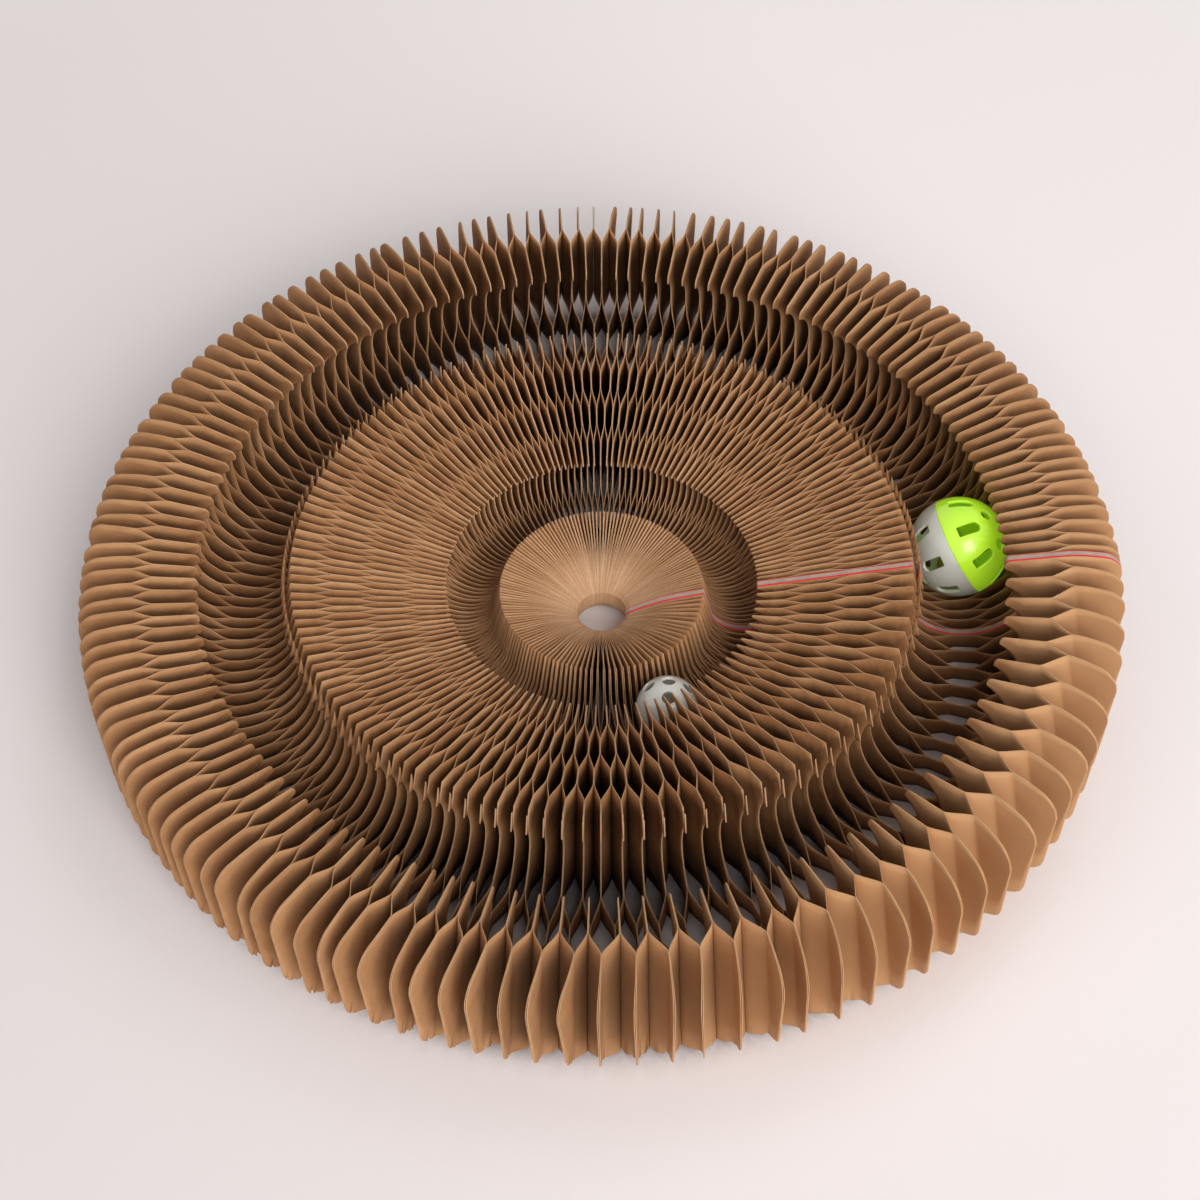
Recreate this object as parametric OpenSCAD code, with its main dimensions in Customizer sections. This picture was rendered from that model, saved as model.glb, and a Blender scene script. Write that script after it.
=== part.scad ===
// Accordion cat scratching ring of honeycomb paper with two ball tracks
// Millimetres, +Z up, origin on the table at the centre of the ring, seam of the end boards on +X.

/* [Ring layout] */
// Radius of the open hole in the middle
hole_r = 12.5; // [12.5:0.1:16]
// Radial width of the hub
hub_w = 39.9; // [37:0.1:44]
// Width of the inner track's mouth
inner_throat = 26.8; // [25.5:0.1:28]
// Radial width of the middle ring
mid_w = 80.3; // [70:0.1:95]
// Width of the outer track's mouth
outer_throat = 41.7; // [40:0.1:44]
// Radial width of the rim
rim_w = 58.8; // [52:0.1:66]

/* [Heights] */
// Paper left under the inner track
inner_floor = 7; // [5:0.1:10]
// Paper left under the outer track
outer_floor = 9.5; // [8:0.1:13]
// Lip height over the inner track's round wall, middle ring side
mid_nose = 1.2; // [0.8:0.1:4]
// Lip height over the outer track's round wall, rim side
rim_nose = 5; // [3:0.1:8]
// Drop from the rim lip to the outer lip of the middle ring
mid_drop = 5.1; // [2:0.1:8]
// Drop from the inner lip of the middle ring to the hub lip
hub_drop = 7.2; // [5:0.1:9]
// Drop from the hub lip to the edge of the hole
hub_dish = 18.5; // [14:0.1:21]
// Rise of the rim's crown above its lip
rim_crown = 6.8; // [4:0.1:10]
// Height of the sloping heel under the rim
heel_h = 23; // [14:0.5:28]
// Radial reach of the sloping heel
heel_w = 19; // [10:0.5:24]
// Height of the rounded shoulder on the outside of the rim
shoulder_h = 9.6; // [6:0.2:16]
// Radial reach of the rounded shoulder
shoulder_w = 6.5; // [4:0.5:10]
// Distance of the rim's highest point from the outside
crown_w = 24; // [18:0.5:30]

/* [Balls and tracks] */
// Diameter of the large ball
large_ball_d = 52; // [48:0.5:54]
// Diameter of the small ball
small_ball_d = 32; // [29:0.5:33]
// Gap between a ball and the round wall of its track
track_gap = 3.5; // [3.4:0.1:4.5]
// Gap between the small ball and its track
small_track_gap = 2; // [1.9:0.1:2.6]
// How far the outer track's centre lies inside the rim lip
outer_tuck = 14.7; // [13:0.1:17]
// How far the inner track's centre lies inside the lip of the middle ring
inner_tuck = 5.7; // [4.5:0.1:7]
// Angle of the large ball round the ring, from the seam
large_ball_turn = 11; // [10:0.5:12]
// Angle of the small ball round the ring, from the seam
small_ball_turn = -61.2; // [-64:0.2:-58]
// Wall of the large ball's shell
large_wall = 1.6; // [1.3:0.1:2]
// Wall of the small ball's shell
small_wall = 1.4; // [1.2:0.1:1.8]
// Length of the large ball's windows
window_l = 12.5; // [10:0.5:13.5]
// Width of the large ball's windows
window_w = 5.8; // [4.5:0.1:6.4]
// Diameter of the large ball's round holes
hole_large_d = 6; // [4.5:0.1:6.5]
// Diameter of the small ball's round holes
hole_small_d = 6.8; // [5:0.1:7.2]
// Diameter of the large ball's bell
large_bell_d = 18; // [14:0.5:19]
// Diameter of the small ball's bell
small_bell_d = 11; // [9:0.5:12]

/* [Paper] */
// Thickness of one paper sheet
paper_t = 0.2; // [0.15:0.01:0.2]
// Glue line between two sheets
glue_gap = 0.05; // [0.03:0.01:0.05]
// Length of one honeycomb row along the sheet, glue strip and fold together
cell_pitch = 22; // [21:0.1:23]
// Length of a glue strip along the sheet
glue_w = 11; // [9:0.1:13]
// Honeycomb rows along a sheet
cell_rows = 8; // [6:1:8]
// Loose paper past the outermost fold
rim_flap = 27; // [24:0.1:30]
// Lean of the glue lines, square to the sloping top
lean = 15; // [12:0.5:16]
// Sheets in one sector, its guide sheet included
sheets_per_sector = 12; // [10:2:14]
// Wider cells after the seam and tighter cells before it
cell_spread = 0.2; // [0:0.01:0.22]
// Clockwise sweep of the loose ends where the ring is opened widest, in degrees
flap_sweep = 14; // [0:0.5:16]
// Opening of each loose end away from its glued partner, in degrees
flap_splay = 1.2; // [0.8:0.1:1.8]

/* [End boards] */
// Thickness of an end board
board_t = 1; // [0.8:0.1:1.5]
// Thickness of the red lining between board and paper
lining_t = 0.6; // [0.3:0.05:0.8]
// Gap between the two end boards at the seam
seam_gap = 0.4; // [0.2:0.05:0.6]

/* [Hidden] */
sector_count = 16;
sheet_count = sector_count * sheets_per_sector;
paper_colour = [0.74, 0.55, 0.36];
guide_colour = [0.70, 0.51, 0.33];
board_colour = [0.80, 0.78, 0.74];
lining_colour = [0.72, 0.16, 0.18];
green_colour = [0.72, 0.93, 0.10];
white_colour = [0.92, 0.92, 0.92];
brass_colour = [0.80, 0.62, 0.26];
steel_colour = [0.65, 0.66, 0.68];
fine = 72;

hub_r = hole_r + hub_w;
mid_in_r = hub_r + inner_throat;
mid_out_r = mid_in_r + mid_w;
rim_in_r = mid_out_r + outer_throat;
ring_r = rim_in_r + rim_w;

outer_track = large_ball_d / 2 + track_gap;
outer_track_r = rim_in_r - outer_tuck;
outer_track_z = outer_floor + outer_track;
inner_track = small_ball_d / 2 + small_track_gap;
inner_track_r = mid_in_r - inner_tuck;
inner_track_z = inner_floor + inner_track;

function meet(x, c, r) = abs(x - c) < r ? acos((x - c) / r) : x < c ? 180 : 0;

rim_angle = meet(rim_in_r, outer_track_r, outer_track);
mid_out_angle = meet(mid_out_r, outer_track_r, outer_track);
mid_in_angle = meet(mid_in_r, inner_track_r, inner_track);
hub_angle = meet(hub_r, inner_track_r, inner_track);

rim_lip_z = outer_track_z + outer_track * sin(rim_angle) + rim_nose;
mid_out_z = rim_lip_z - mid_drop;
mid_in_z = inner_track_z + inner_track * sin(mid_in_angle) + mid_nose;
hub_lip_z = mid_in_z - hub_drop;
hub_end_z = hub_lip_z - hub_dish;
crown_z = rim_lip_z + rim_crown;

function arc(c, z, r, from, to, n) = [
    for (i = [0:n])
        let (a = from + (to - from) * i / n, half = (from - to) / n / 2)
        let (rr = i == 0 || i == n ? r : r / cos(half))
        [c + rr * cos(a), z + rr * sin(a)]
];

outline = concat(
    [[hole_r, hub_end_z * 0.35]],
    [[hole_r + 9, 0]],
    [[ring_r - heel_w, 0]],
    [[ring_r - heel_w * 0.13, heel_h * 0.76]],
    [[ring_r, heel_h]],
    [[ring_r, crown_z - shoulder_h]],
    [[ring_r - shoulder_w, crown_z - shoulder_h * 0.19]],
    [[ring_r - crown_w, crown_z]],
    [[rim_in_r, rim_lip_z]],
    arc(outer_track_r, outer_track_z, outer_track, rim_angle, mid_out_angle - 360, 7),
    [[mid_out_r, mid_out_z]],
    [[mid_in_r, mid_in_z]],
    arc(inner_track_r, inner_track_z, inner_track, mid_in_angle, hub_angle - 360, 6),
    [[hub_r, hub_lip_z]],
    [[hole_r + hub_w * 0.45, hub_lip_z - hub_dish * 0.4]],
    [[hole_r, hub_end_z]]
);

lean_top = max([for (p = outline) p[1] * cos(lean) - p[0] * sin(lean)]);
lean_low = min([for (p = outline) p[1] * cos(lean) - p[0] * sin(lean)]);
fold_end = (ring_r - rim_flap) * cos(lean) + crown_z * sin(lean);
fold_w = cell_pitch - glue_w;

function bound(j) = -360 * (j / sheet_count + cell_spread / PI * sin(180 * j / sheet_count));
function swing(u, half) = (cos(lean) * u - sin(lean) * lean_top) * tan(half) - (paper_t + glue_gap) / 2;

fold_line = [
    for (k = [cell_rows - 1:-1:0])
        for (e = [1, 0])
            fold_end - k * cell_pitch - e * fold_w
];
run = concat([0], fold_line, [ring_r + 40]);

function row_side(i) = floor(i / 2) % 2 == 0 ? 1 : -1;
function wave(i, half, side) = i < 2 ? 0 : side * row_side(i) * swing(min(run[i], fold_end), half);

loose_end = len(run) - 1;
function sweep(a) = flap_sweep * (a < 45 ? sin(min(3 * a, 90)) : a < 180 ? pow(cos((a - 45) * 2 / 3), 3) : 0);
function drift(i, side, away) =
    i < loose_end ? 0 : (fold_end - run[loose_end]) * (tan(away) + side * row_side(loose_end) * tan(flap_splay));
function path(i, half, side, away) = wave(i, half, side) + drift(i, side, away);

function ribbon(half, side, away) = concat(
    [for (i = [0:loose_end]) [run[i], path(i, half, side, away) - paper_t / 2]],
    [for (i = [loose_end:-1:0]) [run[i], path(i, half, side, away) + paper_t / 2]]
);

lining_gap = glue_gap;
seam_half = seam_gap / 2 + board_t + glue_gap + lining_t + lining_gap;

module cut_profile(from, to) {
    translate([0, to, 0])
        rotate([90, 0, 0])
            linear_extrude(height = to - from)
                polygon(outline);
}

module sheet(j) {
    turn = (bound(j) + bound(j + 1)) / 2;
    half = (bound(j) - bound(j + 1)) / 2;
    shift = seam_half * ((2 * j + 1) / sheet_count - 1);
    rotate([0, 0, turn])
        translate([0, shift, 0])
            intersection() {
                rotate([0, -lean, 0])
                    translate([0, 0, lean_low - 5])
                        linear_extrude(height = lean_top - lean_low + 10)
                            polygon(ribbon(half, j % 2 == 0 ? 1 : -1, sweep(-turn)));
                cut_profile(-18, 18);
            }
}

module pleat(k) {
    first = (k - 1) * sheets_per_sector;
    last = k < sector_count ? k * sheets_per_sector - 2 : k * sheets_per_sector - 1;
    color(paper_colour)
        for (j = [first:last])
            sheet(j);
}

module guide(k) {
    color(guide_colour)
        sheet(k * sheets_per_sector - 1);
}

large_r = large_ball_d / 2;
small_r = small_ball_d / 2;
large_path = outer_track_r + 1.8;
large_z = outer_track_z - track_gap + 0.8;
small_path = inner_track_r + 0.8;
small_z = inner_track_z - small_track_gap + 0.8;
split_gap = 0.1;
lap_gap = 0.1;
lap_h = 1.8;
bell_gap = 0.4;
window_lat = 29;
polar_lat = 57;

module at_large_ball() {
    rotate([0, 0, large_ball_turn])
        translate([large_path, 0, large_z])
            children();
}

module at_small_ball() {
    rotate([0, 0, small_ball_turn])
        translate([small_path, 0, small_z])
            children();
}

module tilt_large() {
    rotate([0, 59, 0])
        children();
}

module tilt_small() {
    rotate([0, 0, -small_ball_turn])
        rotate([-21, 0, 0])
            children();
}

module ball_skin(out, inner) {
    difference() {
        sphere(r = out, $fn = fine);
        sphere(r = inner, $fn = fine);
    }
}

module slab(r, from, to) {
    translate([-r - 1, -r - 1, from])
        cube([2 * r + 2, 2 * r + 2, to - from]);
}

module half_shell(r, wall) {
    intersection() {
        ball_skin(r, r - wall);
        slab(r, split_gap, r + 1);
    }
}

module lap_tongue(r, wall) {
    intersection() {
        ball_skin(r - wall / 2 - lap_gap, r - wall);
        slab(r, -split_gap - 0.4, lap_h);
    }
}

module lap_rebate(r, wall) {
    intersection() {
        sphere(r = r - wall / 2, $fn = fine);
        slab(r, -1, lap_h + lap_gap);
    }
}

module d_window(r) {
    side = window_w / 2;
    translate([r - 8, 0, 0])
        rotate([90, 0, 90])
            linear_extrude(height = 12)
                union() {
                    translate([-side, -window_l / 2])
                        square([window_w, window_l - side]);
                    translate([0, window_l / 2 - side])
                        circle(r = side, $fn = 32);
                }
}

module round_hole(r, d) {
    translate([r - 8, 0, 0])
        rotate([0, 90, 0])
            cylinder(d = d, h = 12, $fn = 32);
}

module large_half(spin) {
    difference() {
        half_shell(large_r, large_wall);
        for (k = [0:7])
            rotate([0, 0, spin + 45 * k])
                rotate([0, -window_lat, 0])
                    d_window(large_r);
        for (k = [0:4])
            rotate([0, 0, 180 + 72 * k])
                rotate([0, -polar_lat, 0])
                    round_hole(large_r, hole_large_d);
    }
}

module small_half(spin) {
    difference() {
        half_shell(small_r, small_wall);
        for (k = [0:3])
            rotate([0, 0, spin + 90 * k])
                rotate([0, -51, 0])
                    round_hole(small_r, hole_small_d);
        rotate([0, -90, 0])
            round_hole(small_r, hole_small_d);
    }
}

module jingle_bell(d) {
    slot = d * 0.09;
    difference() {
        sphere(d = d, $fn = fine);
        sphere(d = d - 1.4, $fn = fine);
        translate([0, 0, -d / 2])
            cube([d * 0.7, slot, d * 0.6], center = true);
        for (e = [-1, 1])
            translate([e * d * 0.35, 0, -d * 0.55])
                cylinder(d = slot * 2, h = d * 0.4, $fn = 24);
    }
}

large_bell_drop = large_r - large_wall - bell_gap - large_bell_d / 2;
small_bell_drop = small_r - small_wall - bell_gap - small_bell_d / 2;
pellet_large_d = large_bell_d * 0.26;
pellet_small_d = small_bell_d * 0.3;

module large_ball_green() {
    color(green_colour)
        at_large_ball()
            tilt_large()
                difference() {
                    large_half(22.5);
                    lap_rebate(large_r, large_wall);
                }
}

module large_ball_white() {
    color(white_colour)
        at_large_ball()
            tilt_large()
                union() {
                    rotate([180, 0, 0])
                        large_half(0);
                    lap_tongue(large_r, large_wall);
                }
}

module large_bell() {
    color(brass_colour)
        at_large_ball()
            translate([0, 0, -large_bell_drop])
                jingle_bell(large_bell_d);
}

module large_pellet() {
    color(steel_colour)
        at_large_ball()
            translate([0, 0, -large_bell_drop - large_bell_d / 2 + 1 + pellet_large_d / 2])
                sphere(d = pellet_large_d, $fn = 32);
}

module small_ball_top() {
    color(white_colour)
        at_small_ball()
            tilt_small()
                difference() {
                    small_half(-90);
                    lap_rebate(small_r, small_wall);
                }
}

module small_ball_base() {
    color(white_colour)
        at_small_ball()
            tilt_small()
                union() {
                    rotate([180, 0, 0])
                        small_half(45);
                    lap_tongue(small_r, small_wall);
                }
}

module small_bell() {
    color(brass_colour)
        at_small_ball()
            translate([0, 0, -small_bell_drop])
                jingle_bell(small_bell_d);
}

module small_pellet() {
    color(steel_colour)
        at_small_ball()
            translate([0, 0, -small_bell_drop - small_bell_d / 2 + 1 + pellet_small_d / 2])
                sphere(d = pellet_small_d, $fn = 32);
}

module board_a() {
    color(board_colour)
        cut_profile(-seam_gap / 2 - board_t, -seam_gap / 2);
}

module lining_a() {
    inner = seam_gap / 2 + board_t + glue_gap;
    color(lining_colour)
        cut_profile(-inner - lining_t, -inner);
}

module board_b() {
    color(board_colour)
        cut_profile(seam_gap / 2, seam_gap / 2 + board_t);
}

module lining_b() {
    inner = seam_gap / 2 + board_t + glue_gap;
    color(lining_colour)
        cut_profile(inner, inner + lining_t);
}

module pleat_01() {
    pleat(1);
}

module guide_01() {
    guide(1);
}

module pleat_02() {
    pleat(2);
}

module guide_02() {
    guide(2);
}

module pleat_03() {
    pleat(3);
}

module guide_03() {
    guide(3);
}

module pleat_04() {
    pleat(4);
}

module guide_04() {
    guide(4);
}

module pleat_05() {
    pleat(5);
}

module guide_05() {
    guide(5);
}

module pleat_06() {
    pleat(6);
}

module guide_06() {
    guide(6);
}

module pleat_07() {
    pleat(7);
}

module guide_07() {
    guide(7);
}

module pleat_08() {
    pleat(8);
}

module guide_08() {
    guide(8);
}

module pleat_09() {
    pleat(9);
}

module guide_09() {
    guide(9);
}

module pleat_10() {
    pleat(10);
}

module guide_10() {
    guide(10);
}

module pleat_11() {
    pleat(11);
}

module guide_11() {
    guide(11);
}

module pleat_12() {
    pleat(12);
}

module guide_12() {
    guide(12);
}

module pleat_13() {
    pleat(13);
}

module guide_13() {
    guide(13);
}

module pleat_14() {
    pleat(14);
}

module guide_14() {
    guide(14);
}

module pleat_15() {
    pleat(15);
}

module guide_15() {
    guide(15);
}

module pleat_16() {
    pleat(16);
}

board_a();
lining_a();
pleat_01();
guide_01();
pleat_02();
guide_02();
pleat_03();
guide_03();
pleat_04();
guide_04();
pleat_05();
guide_05();
pleat_06();
guide_06();
pleat_07();
guide_07();
pleat_08();
guide_08();
pleat_09();
guide_09();
pleat_10();
guide_10();
pleat_11();
guide_11();
pleat_12();
guide_12();
pleat_13();
guide_13();
pleat_14();
guide_14();
pleat_15();
guide_15();
pleat_16();
lining_b();
board_b();
large_ball_green();
large_ball_white();
large_bell();
large_pellet();
small_ball_top();
small_ball_base();
small_bell();
small_pellet();
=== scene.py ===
# %% [markdown]
# # A folding scratch ring for a cat, dressed in paper and plastic
# The ring is a long stack of kraft paper sheets, glued to each other in alternating strips. Pulled open and
# bent right round, the stack becomes a honeycomb wheel whose two ends meet at a seam. Two round tracks are
# cut into every sheet, and a rattle ball runs in each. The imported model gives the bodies, the hinges and the
# sizes. This lesson builds the surfaces that the eye sees, each as a function of two parameters.

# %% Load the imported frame
import math

import bpy
import numpy as np
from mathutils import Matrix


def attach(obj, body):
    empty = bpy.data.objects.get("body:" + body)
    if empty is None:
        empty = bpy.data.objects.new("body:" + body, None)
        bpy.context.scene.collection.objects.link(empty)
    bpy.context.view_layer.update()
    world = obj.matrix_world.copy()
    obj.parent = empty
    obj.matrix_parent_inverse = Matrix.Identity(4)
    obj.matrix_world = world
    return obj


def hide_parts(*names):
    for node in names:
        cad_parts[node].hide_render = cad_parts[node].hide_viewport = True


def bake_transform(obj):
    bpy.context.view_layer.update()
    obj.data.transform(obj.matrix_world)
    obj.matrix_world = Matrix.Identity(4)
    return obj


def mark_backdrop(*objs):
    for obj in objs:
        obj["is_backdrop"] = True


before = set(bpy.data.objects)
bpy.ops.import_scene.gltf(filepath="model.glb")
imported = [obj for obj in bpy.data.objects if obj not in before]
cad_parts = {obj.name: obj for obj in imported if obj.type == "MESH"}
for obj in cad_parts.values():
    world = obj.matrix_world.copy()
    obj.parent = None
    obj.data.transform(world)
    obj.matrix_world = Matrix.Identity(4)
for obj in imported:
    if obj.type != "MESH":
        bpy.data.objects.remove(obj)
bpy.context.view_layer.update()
MM = 0.001

# %% [markdown]
# ## The camera
# The picture was taken from the front, about fifty degrees above the table, with a moderate telephoto lens.
# A square frame and a 60 mm lens on a 36 mm sensor give the same spread of lines towards the back.
# The small shift puts the middle of the hole a little below the middle of the frame.

# %% Camera
CAM_AZIMUTH, CAM_HEIGHT_ANGLE, CAM_DISTANCE = math.radians(2.5), math.radians(51.72), 1.0488
AIM_HEIGHT, LENS_MM, SENSOR_MM = 0.009, 60, 36
PICTURE, SHIFT_X, SHIFT_Y = 1200, -1.7, 20.7
cam_back = np.array([math.sin(CAM_AZIMUTH) * math.cos(CAM_HEIGHT_ANGLE),
                     -math.cos(CAM_AZIMUTH) * math.cos(CAM_HEIGHT_ANGLE), math.sin(CAM_HEIGHT_ANGLE)])
camera = bpy.data.objects.new("camera", bpy.data.cameras.new("camera"))
bpy.context.scene.collection.objects.link(camera)
camera.location = np.array([0, 0, AIM_HEIGHT]) + cam_back * CAM_DISTANCE
camera.rotation_euler = (math.pi / 2 - CAM_HEIGHT_ANGLE, 0, CAM_AZIMUTH)
camera.data.lens, camera.data.sensor_width = LENS_MM, SENSOR_MM
camera.data.shift_x, camera.data.shift_y = SHIFT_X / PICTURE, SHIFT_Y / PICTURE
bpy.context.scene.camera = camera
print("camera at", [round(v, 4) for v in camera.location])

# %% [markdown]
# ## Sums on shader sockets
# Node trees are easier to read as formulas. A `Wire` stands for one output socket. A sum, product or
# difference of wires adds a Math node, and `node` adds any other node from its type, settings and inputs.
# The other methods are short names for the nodes that come up again and again.

# %% A socket that can be added and multiplied
class Wire:
    """One shader output. Operators add Math nodes, also with a plain number on the left, as in 1 - mask."""

    def __init__(self, tree, socket):
        self.tree, self.socket = tree, socket

    def node(self, kind, settings=None, sockets=None, out=0):
        """Adds one node: settings first (a ramp's stops among them), then values or links for its sockets."""
        made = self.tree.nodes.new(kind)
        for key, value in (settings or {}).items():
            if key != "stops":
                setattr(made, key, value)
                continue
            ramp = made.color_ramp
            while len(ramp.elements) < len(value):
                ramp.elements.new(0.5)
            for element, (position, colour) in zip(ramp.elements, value):
                element.position, element.color = position, (*colour, 1)
        for key, value in (sockets or {}).items():
            if isinstance(value, Wire):
                self.tree.links.new(value.socket, made.inputs[key])
            else:
                made.inputs[key].default_value = value
        return Wire(self.tree, made.outputs[out])

    def math(self, operation, first, second):
        return self.node("ShaderNodeMath", {"operation": operation}, {0: first, 1: second})

    def __add__(self, other): return self.math("ADD", self, other)
    def __radd__(self, other): return self.math("ADD", other, self)
    def __sub__(self, other): return self.math("SUBTRACT", self, other)
    def __rsub__(self, other): return self.math("SUBTRACT", other, self)
    def __mul__(self, other): return self.math("MULTIPLY", self, other)

    def ramp(self, low, high):
        """0 below low, 1 above high, straight between."""
        return self.node("ShaderNodeMapRange", None, {0: self, 1: low, 2: high})

    def tint(self, first, second):
        """A colour between two colours (or colour wires), by this wire."""
        return self.node("ShaderNodeMix", {"data_type": "RGBA"}, {0: self, 6: first, 7: second}, 2)

    def noise(self, scale, detail, rough=0.5):
        """Soft noise over the coordinates on this wire."""
        inputs = {"Vector": self, "Scale": scale, "Detail": detail, "Roughness": rough}
        return self.node("ShaderNodeTexNoise", None, inputs)

    def bump(self, strength, distance):
        """The normal of a surface with the heights on this wire."""
        return self.node("ShaderNodeBump", None, {"Strength": strength, "Distance": distance, "Height": self})

    def mark(self, name):
        """A number that is stored on the points under this name."""
        return self.node("ShaderNodeAttribute", {"attribute_name": name}, None, 2)

    def reach(self, direction):
        """How far the place on this wire lies in a direction: their dot product."""
        return self.node("ShaderNodeVectorMath", {"operation": "DOT_PRODUCT"}, {0: self, 1: direction}, 1)


def srgb(red, green, blue):
    """A screen colour of 0 to 255 as the linear colour that a shader takes."""
    c = np.array([red, green, blue]) / 255
    return (*np.where(c <= 0.04045, c / 12.92, ((c + 0.055) / 1.055) ** 2.4), 1.0)


BLACK = (0, 0, 0, 1)


def finish(name, coordinate="Object"):
    """A new material: returns it, its surface shader node and a Wire of its coordinates."""
    made = bpy.data.materials.new(name)
    made.use_nodes = True
    tree = made.node_tree
    shader = next(n for n in tree.nodes if n.type == "BSDF_PRINCIPLED")
    if coordinate == "UV":
        place = tree.nodes.new("ShaderNodeUVMap").outputs[0]
    else:
        place = tree.nodes.new("ShaderNodeTexCoord").outputs[coordinate]
    return made, shader, Wire(tree, place)


def feed(shader, socket, wire):
    """Links a wire to one input of a shader."""
    wire.tree.links.new(wire.socket, shader.inputs[socket])


# %% [markdown]
# ## Kraft paper
# Brown kraft paper has long fibres, a cloudy tone from uneven pulp, and a few dark flecks. The cut edge
# of a sheet is paler than its face. Each sheet carries its own tone and its own stretch of the pattern,
# because the sheets are punched from different parts of the roll, so both are read from the sheet's own UV
# map and from a tone stored on its points. Two more marks on the points carry painted light and shade:
# painted shade deep in the honeycomb, and painted light on the outer ends, most on one quarter of the ring.

# %% Kraft paper finishes
# The second colour is painted shade deep in the honeycomb and the third is painted light on the outer ends;
# the flecks are the paper's own.
FLECK_BROWN, PAINTED_SHADE_BROWN, PAINTED_LIGHT_BROWN = srgb(104, 66, 36), srgb(50, 28, 13), srgb(206, 160, 116)


def kraft(name, dark, mid, light, bump):
    """Kraft paper: cloudy pulp, fibres stretched along the sheet, flecks, and a tone for each sheet."""
    made, shader, place = finish(name, "UV")
    cloud, fleck = place.noise(90.0, 4.0, 0.6), place.noise(520.0, 2.0)
    long_way = place.node("ShaderNodeMapping", None, {"Vector": place, "Scale": (1.0, 3.5, 1.0)})
    fibre = long_way.noise(900.0, 5.0, 0.7)
    value = cloud * 0.45 + fibre * 0.55 + place.mark("tone") * 0.22 - 0.11
    stops = [(0.34, dark[:3]), (0.52, mid[:3]), (0.70, light[:3])]
    colour = value.node("ShaderNodeValToRGB", {"stops": stops}, {0: value})
    colour = (fleck.ramp(0.70, 0.76) * 0.55).tint(colour, FLECK_BROWN)
    # painted shade: darker deep in the honeycomb cells, where shade falls
    colour = (place.mark("deep") * 0.85).tint(colour, PAINTED_SHADE_BROWN)
    # painted light: lighter outer ends, most on the quarter of the ring just clockwise of the seam
    colour = (place.mark("pale") * 0.85).tint(colour, PAINTED_LIGHT_BROWN)
    feed(shader, "Base Color", colour)
    feed(shader, "Roughness", 0.70 + fibre * 0.22)
    shader.inputs["Specular IOR Level"].default_value = 0.28
    feed(shader, "Normal", (fibre * 0.6 + cloud * 0.4).bump(bump, 0.0002))
    return made


paper_face = kraft("kraft_face", srgb(148, 101, 63), srgb(172, 123, 81), srgb(193, 146, 103), 0.35)
paper_edge = kraft("kraft_cut_edge", srgb(176, 134, 98), srgb(196, 156, 120), srgb(212, 176, 142), 0.2)
print("paper finishes", paper_face.name, paper_edge.name)

# %% [markdown]
# ## The outline that every sheet is punched to
# A sheet is about 247 mm long: low at the hub, a small round notch for the small ball, a sloping middle part,
# a large round notch that runs in under the rim, and a rim with a round shoulder and a bevelled heel.
# The glue strips lean inwards by 15 degrees, square to the sloping top, so the sheet is described in leaning
# coordinates: `along` counts across the strips and `up` runs along them.

# %% The outline in leaning coordinates
LEAN = math.radians(15)
HOLE_R, HUB_R, MID_IN, MID_OUT, RIM_IN, RING_R = 12.5, 52.4, 79.2, 159.5, 201.2, 260.0
HOLE_FOOT, HUB_TOP = 6.1, 36.1
OUTER_TRACK, INNER_TRACK = (186.5, 39.0, 29.5), (73.5, 25.0, 18.0)  # radius, height and size of the round wall


def lean(points):
    """Turns (radius, height) by the lean: along = r cos + z sin, up = z cos - r sin."""
    r, z = np.asarray(points, float).T
    return np.stack([r * math.cos(LEAN) + z * math.sin(LEAN), z * math.cos(LEAN) - r * math.sin(LEAN)], 1)


def unlean(along, up):
    """Back from leaning coordinates to radius and height."""
    return along * math.cos(LEAN) - up * math.sin(LEAN), along * math.sin(LEAN) + up * math.cos(LEAN)


def rounded(points, reach, steps=5):
    """A chain of straight lines whose inner corners are parabolas that start `reach` before the corner."""
    p = np.asarray(points, float)
    before, corner, after = p[:-2], p[1:-1], p[2:]
    size = np.asarray(reach, float)[:, None]
    start = corner + (before - corner) / np.linalg.norm(before - corner, axis=1, keepdims=True) * size
    stop = corner + (after - corner) / np.linalg.norm(after - corner, axis=1, keepdims=True) * size
    t = np.linspace(0, 1, steps + 1)[None, :, None]
    bend = start[:, None] * (1 - t) ** 2 + 2 * corner[:, None] * t * (1 - t) + stop[:, None] * t ** 2
    return np.concatenate([p[:1], bend.reshape(-1, 2), p[-1:]])


rim_curve = lean(rounded([(21.5, 0), (241, 0), (257.5, 17.5), (RING_R, 23), (RING_R, 66.8), (253.5, 74.55),
                          (236, 76.38), (RIM_IN, 69.6), (RIM_IN, 64.6)], [5, 3.5, 3, 4.5, 4.5, 8, 2.6]))
tip = int(np.argmax(rim_curve[:, 0]))
low_line = np.concatenate([lean([(HOLE_R, HOLE_FOOT), (17.5, 2.2)]), rim_curve[:tip + 1]])
rim_line = rim_curve[tip:][::-1]
mid_line = lean(rounded([(MID_IN, 42.0), (MID_IN, 43.3), (MID_OUT, 64.5), (MID_OUT, 51.0)], [0.6, 2.0]))
hub_line = lean(rounded([(HOLE_R, HOLE_FOOT), (HOLE_R, 17.6), (30.5, 28.7), (HUB_R, HUB_TOP)], [2.0, 7.0]))
ALONG_END = rim_curve[tip, 0]
print("sheet ends at", round(ALONG_END, 2))
print("points of the lines", len(low_line), len(rim_line), len(mid_line), len(hub_line))

# %% [markdown]
# ## A grid over the sheet
# The grid's columns follow the glue strips, so that every fold falls on a column. One low band runs the
# whole length under both tracks. Three upper bands, for hub, middle and rim, stand on it and share its points.
# Where a band hangs over a track, its lower side is the track's round wall instead.

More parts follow.
